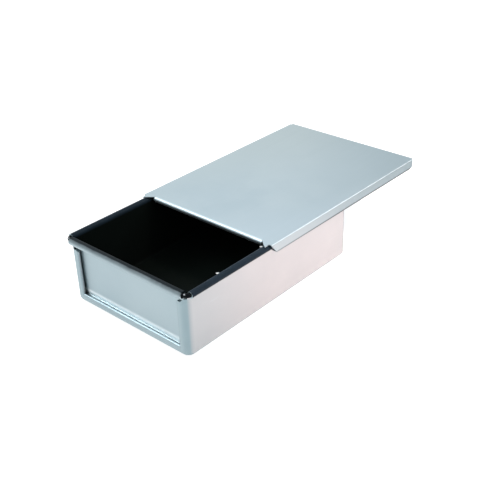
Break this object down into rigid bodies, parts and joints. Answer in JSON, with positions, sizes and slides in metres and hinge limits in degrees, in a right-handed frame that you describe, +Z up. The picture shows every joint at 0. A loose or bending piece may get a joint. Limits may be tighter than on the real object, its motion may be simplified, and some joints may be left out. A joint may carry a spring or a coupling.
{
  "type": "loaf pan",
  "caption": "Low rectangular loaf pan folded from sheet metal, with wired rims, framed end panels and a sliding flat lid.",
  "frame": {"origin": "middle of the pan's underside, the plane it stands on", "axes": "+Z up out of the open pan, +Y along the pan towards the end that the lid slides off, +X across the pan"},
  "size_m": [0.1368, 0.2803, 0.0563],
  "materials": {
    "pan_sheet": "satin rolled sheet outside, dark non-stick coating inside and over the rims",
    "end_sheet": "satin rolled sheet outside, dark non-stick coating inside and over the rim",
    "coated_wire": "gloss black coating",
    "lid_sheet": "satin rolled sheet"
  },
  "bodies": {
    "pan": {"body_wrap": "pan_sheet", "front_end_plate": "end_sheet", "rear_end_plate": "end_sheet", "rim_wire": "coated_wire"},
    "lid": {"lid": "lid_sheet"}
  },
  "joints": [
    {"name": "lid_slide", "type": "slide", "parent": "pan", "child": "lid", "axis": [0, 1, 0], "range_m": [-0.0801, 0.0935]}
  ]
}
